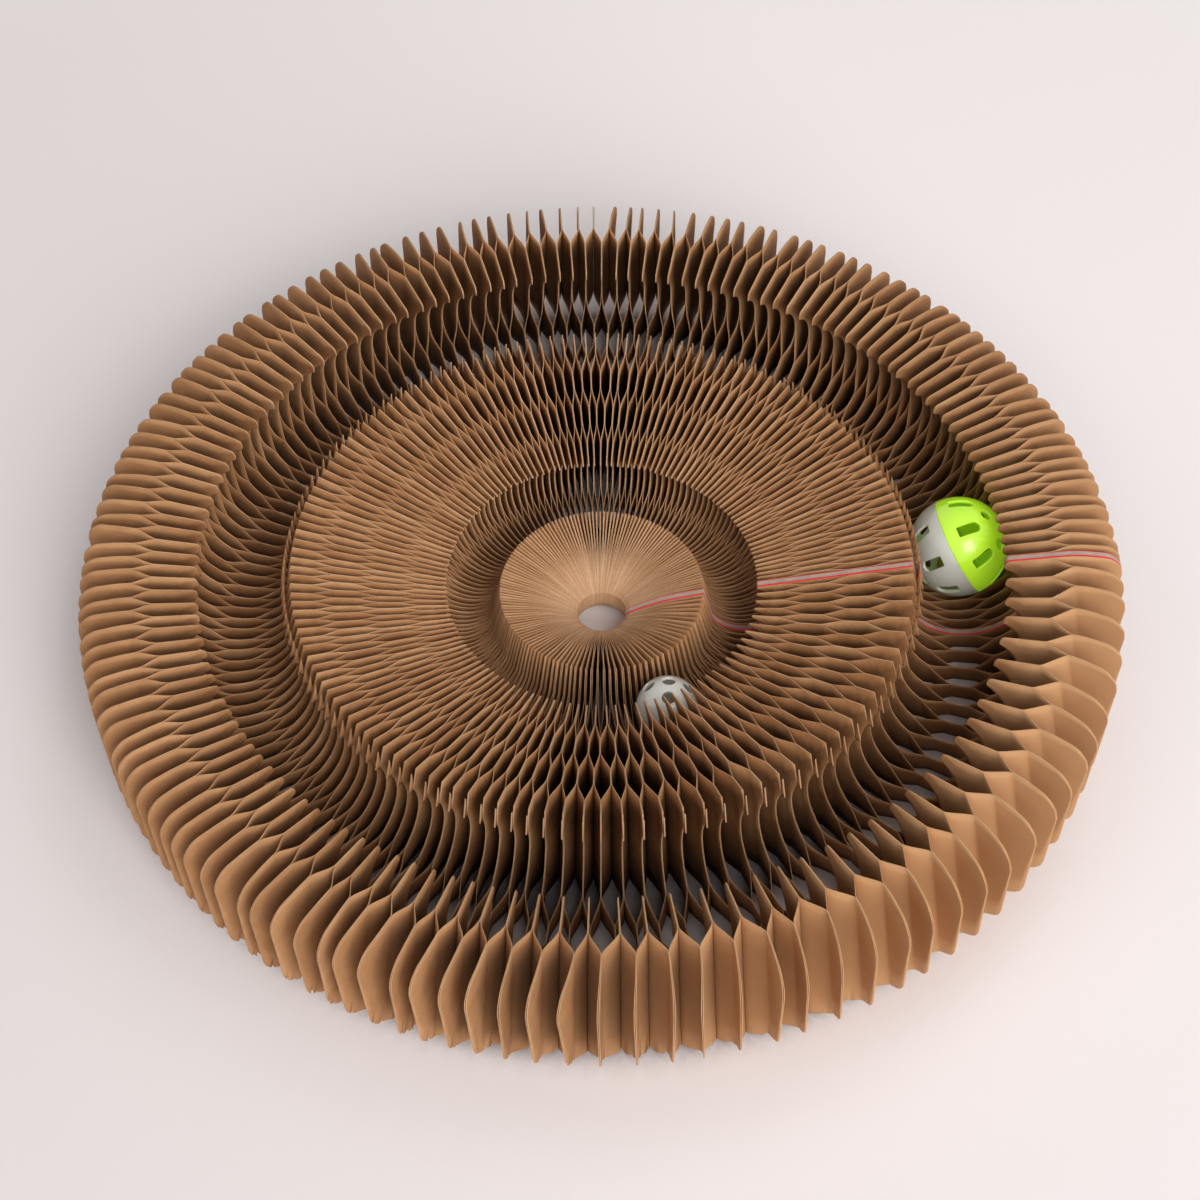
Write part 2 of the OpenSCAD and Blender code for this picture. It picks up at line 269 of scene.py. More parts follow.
# %% Columns and bands
FOLD_END, PITCH, GLUE, FOLDS = 244.83, 22.0, 11.0, 10
STRIPS = FOLDS + 1
fold_stop = FOLD_END - PITCH * np.arange(FOLDS)[::-1]
fold_start = fold_stop - (PITCH - GLUE)


def leaning_circle(track):
    """Centre and radius of a track in leaning coordinates."""
    centre = lean([track[:2]])[0]
    return centre[0], centre[1], track[2]


def wall(track, along, side):
    """Height of a track's round wall at a column: centre plus or minus the half chord."""
    c, up, radius = leaning_circle(track)
    return up + side * np.sqrt(np.clip(radius ** 2 - (along - c) ** 2, 0, None))


IN_C, OUT_C = leaning_circle(INNER_TRACK), leaning_circle(OUTER_TRACK)
HUB_START, HUB_END = 14.2, float(lean([(HUB_R, HUB_TOP)])[0, 0])
MID_START, MID_STOP, RIM_START, RIM_STOP = 87.6, 170.5, 211.3, ALONG_END - 0.15
in_stop, out_start, out_stop = IN_C[0] + IN_C[2], OUT_C[0] - OUT_C[2], OUT_C[0] + OUT_C[2]
hard = np.array([HUB_START, HUB_END, MID_START, in_stop, out_start, MID_STOP, RIM_START, out_stop, RIM_STOP])
soft = np.concatenate([
    (fold_start[:, None] + np.array([-0.6, 0.6, 3.4, 7.6, 10.4, 11.6])).ravel(),
    fold_stop[1:] - PITCH + 5.5, np.array([16.5, 19, 23, 28]),
    IN_C[0] - IN_C[2] * np.cos(np.linspace(0.24, math.pi, 13)),
    OUT_C[0] - OUT_C[2] * np.cos(np.linspace(0, math.pi, 19)),
    np.array([88.2, 89.5, 167.6, 169.2, 169.9, 211.8, 212.4, 213.4, 214.6]),
    rim_line[1:-1, 0], np.linspace(246, RIM_STOP, 14)])
soft = np.sort(soft)
soft = soft[np.abs(soft[:, None] - hard).min(1) > 0.3]
soft = soft[np.concatenate([[True], np.diff(soft) > 0.28])]
columns = np.sort(np.concatenate([hard, soft]))
columns = columns[(columns >= HUB_START) & (columns <= RIM_STOP)]


def waist(along):
    """The line between the low band and the upper bands: the track floors, and straight lines between them."""
    knots = [HUB_START, HUB_END, in_stop, out_start, out_stop, RIM_STOP]
    tops = [np.interp(HUB_START, *low_line.T) + 1.5, wall(INNER_TRACK, HUB_END, -1),
            IN_C[1], OUT_C[1], OUT_C[1],
            (np.interp(RIM_STOP, *low_line.T) + np.interp(RIM_STOP, *rim_line.T)) / 2]
    line = np.interp(along, knots, tops)
    line = np.where((along >= HUB_END) & (along <= in_stop), wall(INNER_TRACK, along, -1), line)
    return np.where((along >= out_start) & (along <= out_stop), wall(OUTER_TRACK, along, -1), line)


def band(along, low, high, rows):
    """A grid of quads between two lines over the same columns; returns points (n, 2) and quads (m, 4)."""
    s = np.linspace(0, 1, rows + 1)[None, :]
    up = low[:, None] * (1 - s) + high[:, None] * s
    points = np.stack([np.broadcast_to(along[:, None], up.shape), up], 2).reshape(-1, 2)
    index = np.arange(len(points)).reshape(up.shape)
    quads = np.stack([index[:-1, :-1], index[1:, :-1], index[1:, 1:], index[:-1, 1:]], 2).reshape(-1, 4)
    return points, quads


def between(first, last):
    """The columns from first to last, both included."""
    return columns[(columns >= first - 1e-9) & (columns <= last + 1e-9)]


def over(along, start, stop, track_a, track_b):
    """Lower side of an upper band: the waist, or the upper wall of a track that the band hangs over."""
    line = waist(along)
    if track_a:
        line = np.where(along < start, wall(track_a, along, 1), line)
    if track_b:
        edge = (along - MID_OUT * math.cos(LEAN)) / math.sin(LEAN) * math.cos(LEAN) - MID_OUT * math.sin(LEAN)
        line = np.where(along > stop, np.maximum(wall(track_b, along, 1), edge), line)
    return line


hub_c, mid_c, rim_c = between(HUB_START, HUB_END), between(MID_START, MID_STOP), between(RIM_START, RIM_STOP)
mid_low = over(mid_c, in_stop, out_start, INNER_TRACK, OUTER_TRACK)
rim_low = over(rim_c, out_stop, math.inf, OUTER_TRACK, None)
grids = [band(columns, np.interp(columns, *low_line.T), waist(columns), 4),
         band(hub_c, waist(hub_c), np.interp(hub_c, *hub_line.T), 3),
         band(mid_c, mid_low, np.interp(mid_c, *mid_line.T), 3),
         band(rim_c, rim_low, np.interp(rim_c, *rim_line.T), 4)]
offsets = np.cumsum([0] + [len(p) for p, q in grids[:-1]])
flat_points = np.concatenate([p for p, q in grids])
flat_quads = np.concatenate([q + o for (p, q), o in zip(grids, offsets)])
_, first_at, same = np.unique(np.round(flat_points, 4), axis=0, return_index=True, return_inverse=True)
sheet_points, sheet_quads = flat_points[first_at], same.reshape(-1)[flat_quads]
sides = np.concatenate([sheet_quads[:, [a, (a + 1) % 4]] for a in range(4)])
_, at, count = np.unique(np.sort(sides, 1), axis=0, return_index=True, return_counts=True)
sheet_rim = sides[at[count == 1]]
print("columns", len(columns), "points", len(sheet_points), "quads", len(sheet_quads), "edge", len(sheet_rim))

# %% [markdown]
# ## Honeycomb
# Neighbouring sheets touch along strips that alternate: one row is glued to the neighbour on the left, the
# next to the neighbour on the right. In the open ring each strip lies in an upright plane through the centre,
# so a sheet steps from one plane to the next at every fold. The cells are wide just after the seam and narrow
# on the far side, as the ring was opened by hand.

# %% Where the sheets stand round the ring
SECTORS, SPREAD, SEAM_HALF = 16, 0.2, 1.9
PLANE_WOBBLE, STRIP_WOBBLE = 0.10, 0.045  # shares of the gap between two planes
rng = np.random.default_rng(7)
leaf = np.arange(SECTORS + 1)
sector_edge = 360 * (leaf / SECTORS + SPREAD / math.pi * np.sin(math.pi * leaf / SECTORS))
CELL_AT = np.array([0, 12, 30, 60, 88, 100, 120, 150, 180, 210, 250, 285, 330, 360.0])
CELL_DEG = np.array([3.1, 3.7, 3.8, 3.45, 3.4, 2.8, 2.45, 2.2, 2.15, 2.4, 2.3, 2.2, 2.15, 1.95])
fine = np.linspace(0, 360, 3601)
cell_width = np.interp((fine[1:] + fine[:-1]) / 2, CELL_AT, CELL_DEG)
sheets_upto = np.concatenate([[0], np.cumsum(2 / cell_width * 0.1)])  # two sheets a cell, steps of 0.1 degrees
edge_sheet = np.interp(sector_edge, fine, sheets_upto)
per_sector = np.round(np.diff(edge_sheet)).astype(int)
first_sheet = np.concatenate([[0], np.cumsum(per_sector)])
SHEETS = int(first_sheet[-1])
steps = [np.interp(np.linspace(edge_sheet[k], edge_sheet[k + 1], per_sector[k] + 1), sheets_upto, fine)
         for k in range(SECTORS)]
plane = np.concatenate([s[:-1] for s in steps] + [[360.0]])
gap = np.diff(plane)
wobble = rng.normal(0, 1, SHEETS + 1) * PLANE_WOBBLE
wobble[first_sheet] = 0
near = np.concatenate([gap[:1], (gap[1:] + gap[:-1]) / 2, gap[-1:]])
plane = plane + wobble * near
strip_plane = plane[:, None] + rng.normal(0, STRIP_WOBBLE, (SHEETS + 1, STRIPS)) * near[:, None]
strip_plane[first_sheet] = plane[first_sheet, None]
print("sheets", SHEETS, "by sector", per_sector.tolist())

# %% The surface of many sheets at once
PAPER, PRESSED_MOST, PRESSED_SHARE, PRESSED_R, FREE_R = 0.30, 0.5, 0.94, 19, 33
GLUE_GAP = 0.02


def paper_thickness(r, room):
    """0.3 mm of paper; near the hole the sheets are pressed together, so they fill the room that they have."""
    full = np.minimum(PRESSED_SHARE * room, PRESSED_MOST)
    t = np.clip((r - PRESSED_R) / (FREE_R - PRESSED_R), 0, 1)
    return np.minimum(full, full * (1 - t) + PAPER * t)


# Lips: from and to along the sheet, the heights where the hold starts and is full, and the strip that holds.
LIPS = [(205, fold_stop[8], 16, 42, 17), (fold_start[6], 172, 36, 50, 12), (84, fold_stop[2], 30, 40, 5)]


def honeycomb(numbers, points):
    """Angle (degrees clockwise from the seam), half thickness, looseness, radius and height of every point.

    Each strip has the angle of the plane it is glued in, folds run from one plane to the next along an eased
    line, and the loose end past the last fold swings a little further. Lips that hang over a track are held by
    one strip only, so they stay in its plane."""
    along = points[:, 0]
    r, z = unlean(points[:, 0], points[:, 1])
    knots = np.stack([fold_start, fold_stop], 1).ravel()
    place = np.interp(along, knots, np.arange(2.0 * FOLDS))
    for first, last, low, high, strip in LIPS:
        hold = np.clip((z - low) / (high - low), 0, 1) * ((along > first) & (along < last))
        place = place + (strip - place) * hold
    row_from = np.where(place <= 0, 0, np.floor(place / 2)).astype(int)
    t = np.clip(place - 2 * row_from, 0, 1)
    crispness = np.interp(gap[numbers], [1.0, 1.8], [0.75, 0.15])[:, None]
    t = t[None, :] + crispness * ((3 - 2 * t) * t * t - t)[None, :]
    rows = np.arange(STRIPS)
    later = (numbers[:, None] + rows[None, :]) % 2 == 0
    edge = np.where(later, strip_plane[numbers + 1], strip_plane[numbers])
    side = np.where(later, -1.0, 1.0)
    edge[:, 0] = (plane[numbers] + plane[numbers + 1]) / 2
    side[:, 0] = 0
    row_to = np.minimum(row_from + 1, FOLDS)
    angle = edge[:, row_from] * (1 - t) + edge[:, row_to] * t
    lean_to = side[:, row_from] * (1 - t) + side[:, row_to] * t
    room = np.radians(gap[numbers])[:, None] * r[None, :]
    half = paper_thickness(r[None, :], room) / 2
    angle = angle + np.degrees(lean_to * (half + GLUE_GAP) / r[None, :])
    loose = np.clip((along - FOLD_END) / (ALONG_END - FOLD_END), 0, 1)[None, :]
    return angle, half, loose, r, z


def stand(angle, r, z):
    """Angle, radius and height to metres: x = r cos, y = -r sin, moved sideways to make room for the seam."""
    a = -np.radians(angle)
    shift = SEAM_HALF * (angle / 180 - 1)
    x, y = r * np.cos(a) - shift * np.sin(a), r * np.sin(a) + shift * np.cos(a)
    return np.stack([x, y, np.broadcast_to(z, x.shape)], -1) * MM


SWING_AT = [0, 8, 25, 60, 90, 120, 180, 270, 360]
SWING_DEG, SWING_SPREAD, GUIDE_SWING = [0.2, 0.7, 1.05, 1.05, 0.75, 0.45, 0.1, 0.2, 0.1], 0.28, 0.3
SWING_POWER, SPLAY_DEG = 1.3, 0.04
swing = np.interp(plane, SWING_AT, SWING_DEG)
swing = swing + rng.normal(0, SWING_SPREAD, SHEETS + 1)
swing[first_sheet] *= GUIDE_SWING
print("loose ends swing by", round(float(swing.min()), 2), "to", round(float(swing.max()), 2), "degrees")

# %% Mesh from arrays
def make_mesh(name, points, quads, materials, material_index, smooth, uv=None, marks=None):
    """Puts whole arrays into a mesh: points (n, 3) in metres, quads (m, 4), flat where smooth is False."""
    mesh = bpy.data.meshes.new(name)
    mesh.vertices.add(len(points))
    mesh.vertices.foreach_set("co", np.ascontiguousarray(points, np.float32).ravel())
    mesh.loops.add(quads.size)
    mesh.loops.foreach_set("vertex_index", np.ascontiguousarray(quads, np.int32).ravel())
    mesh.polygons.add(len(quads))
    mesh.polygons.foreach_set("loop_start", np.arange(0, quads.size, 4, dtype=np.int32))
    for material in materials:
        mesh.materials.append(material)
    mesh.polygons.foreach_set("material_index", np.ascontiguousarray(material_index, np.int32))
    mesh.polygons.foreach_set("use_smooth", np.ascontiguousarray(smooth, bool))
    if uv is not None:
        layer = mesh.uv_layers.new(name="sheet")
        layer.data.foreach_set("uv", np.ascontiguousarray(uv[quads.ravel()], np.float32).ravel())
    for mark, value in (marks or {}).items():
        stored = mesh.attributes.new(mark, "FLOAT", "POINT").data
        stored.foreach_set("value", np.ascontiguousarray(value, np.float32))
    mesh.update(calc_edges=True)
    mesh.validate()
    made = bpy.data.objects.new(name, mesh)
    bpy.context.scene.collection.objects.link(made)
    return made


def skin(count):
    """Quads of `count` closed sheets: the clockwise face, the other face turned round, and the cut edge."""
    n = len(sheet_points)
    front, back = sheet_quads, sheet_quads[:, ::-1] + n
    edge = np.stack([sheet_rim[:, 1], sheet_rim[:, 0], sheet_rim[:, 0] + n, sheet_rim[:, 1] + n], 1)
    one = np.concatenate([front, back, edge])
    kind = np.concatenate([np.zeros(len(front) * 2, int), np.ones(len(edge), int)])
    quads = (one[None] + (np.arange(count) * 2 * n)[:, None, None]).reshape(-1, 4)
    return quads, np.tile(kind, count)


DEEP_FROM, DEEP_SPAN, DEEP_POWER = 0.5, 14, 0.8
HEM_ALONG, HEM_TOP, TORN_MEAN, TORN_SPREAD, TORN_MOST = 234, 24, -0.6, 2.6, 4.0
ROLL_STEP = np.array([[0.37], [0.61]])  # how far the pattern moves on the roll from sheet to sheet
sheet_tone = rng.random(SHEETS)
flat_r, flat_z = unlean(*sheet_points.T)
open_edge = np.unique(sheet_rim)
open_edge = open_edge[flat_z[open_edge] > 1.0]
edge_gap = np.hypot(flat_r[:, None] - flat_r[open_edge], flat_z[:, None] - flat_z[open_edge]).min(1)
# painted shade: darker the further a point lies from the sheet's open edges, and less towards the loose end
sheet_painted_shade = np.clip((edge_gap - DEEP_FROM) / DEEP_SPAN, 0, 1) ** DEEP_POWER
sheet_painted_shade = sheet_painted_shade * np.interp(sheet_points[:, 0], [240, 248], [1, 0.15])
# painted light on the outer ends of the sheets, strongest on the quarter of the ring just clockwise of the
# seam
sheet_painted_light = np.interp(sheet_points[:, 0], [214, 232], [0, 1])
painted_light_turn = np.interp(plane, [0, 15, 45, 75, 95, 330, 360], [0.75, 0.95, 1, 0.75, 0.3, 0.3, 0.7])
print("deepest point of a sheet lies", round(float(edge_gap.max()), 1), "mm from its open edges")
above_low_line = sheet_points[:, 1] - np.interp(sheet_points[:, 0], *low_line.T)
hem = (sheet_points[:, 0] > HEM_ALONG) & (flat_z < HEM_TOP) & (np.abs(above_low_line) < 0.01)
torn = np.clip(rng.normal(TORN_MEAN, TORN_SPREAD, (SHEETS + 1, int(hem.sum()))), 0, TORN_MOST)
torn = torn * np.interp(plane, [50, 75, 155, 190], [0, 1, 1, 0.1])[:, None]
print("torn hem from", flat_r[hem].min().round(1), "to", flat_r[hem].max().round(1), "mm")


def paper_sheets(name, numbers):
    """Closed paper sheets with the given numbers, in one mesh, and the mid-surface angle of each point."""
    numbers = np.asarray(numbers)
    angle, half, loose, r, z = honeycomb(numbers, sheet_points)
    later = (numbers % 2 == 0)
    bend = np.where(later, swing[numbers + 1], swing[numbers])[:, None] * loose ** SWING_POWER
    splay = np.where(later, -1.0, 1.0)[:, None] * SPLAY_DEG * loose ** 2
    middle = angle + bend + splay
    thick = np.degrees(half / r[None, :])
    both = np.stack([middle + thick, middle - thick], 1)
    lift = np.zeros((len(numbers), 1, len(r)))
    lift[:, 0, hem] = torn[np.where(later, numbers + 1, numbers)]
    points = stand(both, r[None, None, :], z[None, None, :] + lift)
    quads, kind = skin(len(numbers))
    moved = (numbers * ROLL_STEP).T[:, None, None, :]
    uv = np.stack(np.broadcast_arrays(r * MM, z * MM), -1)[None, None] + moved
    uv = np.broadcast_to(uv, (*both.shape, 2)).reshape(-1, 2)
    tone = np.broadcast_to(sheet_tone[numbers][:, None, None], both.shape).reshape(-1)
    # painted shade and painted light, carried to every point of both faces
    deep = np.broadcast_to(sheet_painted_shade, both.shape).reshape(-1)
    pale = np.broadcast_to(painted_light_turn[numbers][:, None, None] * sheet_painted_light, both.shape).reshape(-1)
    made = make_mesh(name, points.reshape(-1, 3), quads, [paper_face, paper_edge], kind, kind == 0, uv,
                     {"tone": tone, "deep": deep, "pale": pale})
    return made, np.repeat(angle[:, None, :], 2, 1).reshape(-1)


# %% [markdown]
# ## Pleats and guide sheets
# Each sector of the ring is a bundle of sheets between two hinged leaves, built as one mesh. The last
# sheet of every sector but the last is a guide sheet that rides on the leaf after it. Each point's share of
# the angle between the leaves, measured on the middle of the paper, is worked out as well.

# %% Pleats and guides
BLEND_R, BLEND_Z = 150.0, 30.0
chain = ["end_a"] + [f"leaf_{k:02d}" for k in range(1, SECTORS)] + ["end_b"]
for k in range(SECTORS):
    last = first_sheet[k + 1] - (1 if k < SECTORS - 1 else 0)
    pleat, angle = paper_sheets(f"paper_pleat_{k + 1:02d}", np.arange(first_sheet[k], last))
    start, stop = plane[first_sheet[k]], plane[last]
    share = np.clip((angle - start) / (stop - start), 0, 1)
    ends = stand(np.array([start, stop]), BLEND_R, BLEND_Z)
    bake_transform(pleat)
    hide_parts(f"pleat_{k + 1:02d}")
    if k < SECTORS - 1:
        guide, _ = paper_sheets(f"paper_guide_{k + 1:02d}", [last])
        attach(guide, chain[k + 1])
        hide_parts(f"guide_{k + 1:02d}")
print(SHEETS, "sheets,", 2 * (2 * len(sheet_quads) + len(sheet_rim)), "triangles each")

# %% [markdown]
# ## Seam boards and red linings
# The stack ends in two stiff boards, punched to the same outline as the sheets, with a sheet of red lining
# between board and paper. At the seam they show as four thin lines: red, grey, grey, red. They are plain
# plates, so the flat sheet grid is used again, with its two faces at two distances from the seam.

# %% Seam boards and linings
def board_stock(name, dark, light, grain, bump):
    """Pressed board or lining: cloudy grey or red stock with fine fibres, darker and lighter by the noise."""
    made, shader, place = finish(name)
    cloud, fibre = place.noise(140.0, 4.0, 0.6), place.noise(grain, 4.0, 0.7)
    value = cloud * 0.5 + fibre * 0.5
    feed(shader, "Base Color", value.ramp(0.34, 0.66).tint(dark, light))
    feed(shader, "Roughness", 0.62 + fibre * 0.25)
    shader.inputs["Specular IOR Level"].default_value = 0.3
    feed(shader, "Normal", value.bump(bump, 0.0002))
    return made


grey_stock = board_stock("grey_board", srgb(168, 148, 136), srgb(198, 182, 170), 1400.0, 0.3)
red_stock = board_stock("red_lining", srgb(226, 44, 54), srgb(244, 72, 76), 1100.0, 0.2)


def plate(name, near, far, stock, papered):
    """A closed plate with the sheet's outline, from y = near to y = far (mm).

    A papered one has kraft paper on the face that is turned away from the seam."""
    faces = [np.stack([flat_r, np.full_like(flat_r, y), flat_z], 1) for y in (near, far)]
    quads, kind = skin(1)
    covered, face = np.zeros(len(quads)), len(sheet_quads)
    if papered:
        outer = slice(0, face) if near < 0 else slice(face, 2 * face)
        covered[outer] = 1
    # the kraft face of a board gets the same painted shade and painted light as a sheet
    marks = {"tone": np.full(2 * len(flat_r), 0.5),
             "deep": np.tile(sheet_painted_shade, 2), "pale": np.tile(sheet_painted_light, 2)}
    points, uv = np.concatenate(faces) * MM, np.tile(np.stack([flat_r, flat_z], 1) * MM, (2, 1))
    return make_mesh(name, points, quads, [stock, paper_face], covered, kind == 0, uv, marks)


for name, node, body, near, far, stock, slot in (
        ("seam_board_a", "board_a", "end_a", -0.75, -0.2, grey_stock, "grey_board"),
        ("seam_board_b", "board_b", "end_b", 0.2, 1.48, grey_stock, "grey_board"),
        ("seam_lining_a", "lining_a", "end_a", -1.85, -0.77, red_stock, "red_lining"),
        ("seam_lining_b", "lining_b", "end_b", 1.5, 1.85, red_stock, "red_lining")):
    piece = plate(name, near, far, stock, stock is red_stock)
    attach(piece, body)
    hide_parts(node)
print("seam boards and linings made")

# %% [markdown]
# ## Rattle balls
# Each ball is two moulded half shells with holes, so that the bell inside can be heard. A sphere with holes is
# awkward as one grid of longitude and latitude. Instead the half shell is divided into patches, one round each
# hole. In a patch, rings run from its edge to the hole, over the rounded lip, through the wall and back along
# the inside, so the shell has real thickness and its windows catch the light along their edges.

# %% Pierced patches of a sphere
def unit(v):
    """Vectors of length one in the same directions."""
    return v / np.linalg.norm(v, axis=-1, keepdims=True)


def globe(lon, lat):
    """Unit vectors from longitude and latitude in degrees."""
    a, b = np.broadcast_arrays(np.radians(lon), np.radians(lat))
    return np.stack([np.cos(b) * np.cos(a), np.cos(b) * np.sin(a), np.sin(b)], -1)


def patch_edge(lon, lat, across, down):
    """The four sides of a patch, walked once round anticlockwise as seen from outside."""
    u, v = np.linspace(0, 1, across + 1)[:-1], np.linspace(0, 1, down + 1)[:-1]
    east, north = lon[1] - lon[0], lat[1] - lat[0]
    lons = np.concatenate([lon[0] + east * u, np.full(down, lon[1]), lon[1] - east * u, np.full(down, lon[0])])
    lats = np.concatenate([np.full(across, lat[0]), lat[0] + north * v,
                           np.full(across, lat[1]), lat[1] - north * v])
    return globe(lons, lats)


def round_reach(radius):
    """A round hole has the same reach in every direction."""
    return lambda turn: np.full_like(turn, radius)


SQUARE = 14.0  # the higher, the sharper the corners at a window's foot


def slot_reach(half, low, high):
    """Reach of a window with a square foot and a round head: the nearest of side, foot and head on a ray."""
    def reach(turn):
        c, s = np.cos(turn), np.sin(turn)
        side = half / np.maximum(abs(c), 1e-6)
        foot = np.where(s < 0, low / np.maximum(-s, 1e-6), 1e6)
        middle = high - half
        head = middle * s + np.sqrt(np.maximum(half ** 2 - (middle * c) ** 2, 0))
        corner = (side ** -SQUARE + foot ** -SQUARE) ** (-1 / SQUARE)
        return np.where((s > 0) & (side * s > middle), head, corner)
    return reach


def pierced(edge, middle, reach, radius, wall, lip=0.45):
    """Rings from a patch's edge to its hole, over a quarter-round lip, through the wall and back inside.

    Rings on the skins blend the edge and the hole's rim and are pushed out to the sphere. The lip's rings lie
    at reach + lip (1 - sin t) from the hole's middle, at a depth of lip (1 - cos t)."""
    north = np.array([0, 1, 0]) if abs(middle[2]) > 0.999 else np.array([0, 0, 1])
    north = unit(north - north @ middle * middle)
    east = np.cross(north, middle)
    turn = np.arctan2(edge @ north, edge @ east)
    away = np.cos(turn)[:, None] * east + np.sin(turn)[:, None] * north
    size = reach(turn)[:, None]

    def ring(extra, depth):
        far = (size + extra) / radius
        return (middle * np.cos(far) + away * np.sin(far)) * (radius - depth)

    t = np.radians([0, 25, 50, 70, 90])
    brink, inner_brink = unit(ring(lip, 0)), unit(ring(0.2, 0))
    outside = [unit(edge * (1 - s) + brink * s) * radius for s in (0, 0.04, 0.3, 0.55, 0.78, 0.92)]
    rounding = [ring(lip * (1 - math.sin(a)), lip * (1 - math.cos(a))) for a in t]
    through = [ring(0, wall - 0.2), ring(0.06, wall - 0.06)]
    inside = [unit(inner_brink * (1 - s) + edge * s) * (radius - wall) for s in (0, 0.35, 0.7, 1)]
    return np.stack(outside + rounding + through + inside)


def ring_quads(grid):
    """Quads of a grid of closed rings: (rings, points, 3) to indices, anticlockwise as seen from outside."""
    rows, count = grid.shape[:2]
    index = np.arange(rows * count).reshape(rows, count)
    nxt = np.roll(index, -1, 1)
    return np.stack([index[:-1], nxt[:-1], nxt[1:], index[1:]], 2).reshape(-1, 4)


def polar_disc(lat, radius, side, flip):
    """A square grid drawn onto the cap above a latitude, so that the pole is an ordinary grid point."""
    a, b = np.meshgrid(np.linspace(-1, 1, side + 1), np.linspace(-1, 1, side + 1), indexing="ij")
    wide = np.abs(a) >= np.abs(b)
    span = np.where(wide, a, b)
    share = np.where(wide, b, a) / np.where(span == 0, 1, span)
    lon = np.where(wide, 45 * share, 90 - 45 * share) + np.where(span < 0, 180, 0)
    points = globe(lon, 90 - (90 - lat) * np.abs(span)) * radius
    index = np.arange(points[..., 0].size).reshape(a.shape)
    quads = np.stack([index[:-1, :-1], index[1:, :-1], index[1:, 1:], index[:-1, 1:]], 2).reshape(-1, 4)
    return points.reshape(-1, 3), quads[:, ::-1] if flip else quads


MERGE_SHIFT = 1.7e-5  # keeps points off the steps of rounding
EASE_SHARE, EASE_LAT = 0.0015, 0.4


def half_ball(parts, belt, radius, wall):
    """Joins patches to one closed half shell: shared points are merged, the split face is added at the belt.

    The skin is eased in by a hair at the belt, so that the split between the halves shows as a fine line."""
    starts = np.cumsum([0] + [len(p) for p, q in parts[:-1]])
    points = np.concatenate([p for p, q in parts])
    quads = np.concatenate([q + o for (p, q), o in zip(parts, starts)])
    low, count = belt
    lons = np.linspace(0, 360, count + 1)[:-1]
    foot = len(points) + np.arange(count)
    points = np.concatenate([points, globe(lons, low) * radius, globe(lons, low) * (radius - wall)])
    after = np.roll(foot, -1)
    quads = np.concatenate([quads, np.stack([foot, foot + count, after + count, after], 1)])
    rounded_points = np.round(points + MERGE_SHIFT, 4)
    _, at, same = np.unique(rounded_points, axis=0, return_index=True, return_inverse=True)
    points, quads = points[at], same.reshape(-1)[quads]
    lat = np.degrees(np.arcsin(points[:, 2] / np.linalg.norm(points, axis=1)))
    skin_out = np.linalg.norm(points, axis=1) > radius - 0.02
    easing = 1 - EASE_SHARE * np.exp(-(lat / EASE_LAT) ** 2) * skin_out
    return points * easing[:, None], quads


def as_part(grid):
    """The points and quads of a grid of rings."""
    return grid.reshape(-1, 3), ring_quads(grid)


# %% The two halves of each ball
LARGE_R, LARGE_WALL, LARGE_SPLIT, BELT_TOP, HOLES_TOP = 26.0, 1.6, 0.25, 46.6, 71.0
SMALL_R, SMALL_WALL, SMALL_SPLIT, SMALL_TOP, SMALL_LIP = 16.0, 1.4, 0.4, 70.5, 0.35


def large_half(spin):
    """Eight windows with square feet in a belt, five round holes above them and a closed cap."""
    window, hole, shell = slot_reach(2.9, 6.25, 6.25), round_reach(3.0), (LARGE_R, LARGE_WALL)
    belt = [as_part(pierced(patch_edge((m - 22.5, m + 22.5), (LARGE_SPLIT, BELT_TOP), 20, 20),
                            globe(m, 29.0), window, *shell)) for m in spin + 45.0 * np.arange(8)]
    ring = [as_part(pierced(patch_edge((m - 36, m + 36), (BELT_TOP, HOLES_TOP), 32, 8),
                            globe(m, 57.0), hole, *shell)) for m in 180 + 72.0 * np.arange(5)]
    caps = [polar_disc(HOLES_TOP, LARGE_R, 40, False), polar_disc(HOLES_TOP, LARGE_R - LARGE_WALL, 40, True)]
    return half_ball(belt + ring + caps, (LARGE_SPLIT, 160), *shell)


def small_half(spin):
    """Four round holes and one at the pole."""
    hole, shell = round_reach(3.4), (SMALL_R, SMALL_WALL)
    ring = [as_part(pierced(patch_edge((m - 45, m + 45), (SMALL_SPLIT, SMALL_TOP), 24, 18),
                            globe(m, 51.0), hole, *shell, SMALL_LIP)) for m in spin + 90.0 * np.arange(4)]
    edge = globe(np.linspace(0, 360, 97)[:-1] + spin - 45, SMALL_TOP)
    crown = as_part(pierced(edge, np.array([0, 0, 1.0]), hole, *shell, SMALL_LIP))
    return half_ball(ring + [crown], (SMALL_SPLIT, 96), *shell)


def turned(axis, degrees):
    """Rotation matrix about x, y or z (0, 1 or 2)."""
    c, s = math.cos(math.radians(degrees)), math.sin(math.radians(degrees))
    i, j = (axis + 1) % 3, (axis + 2) % 3
    m = np.eye(3)
    m[i, i], m[j, j], m[i, j], m[j, i] = c, c, -s, s
    return m


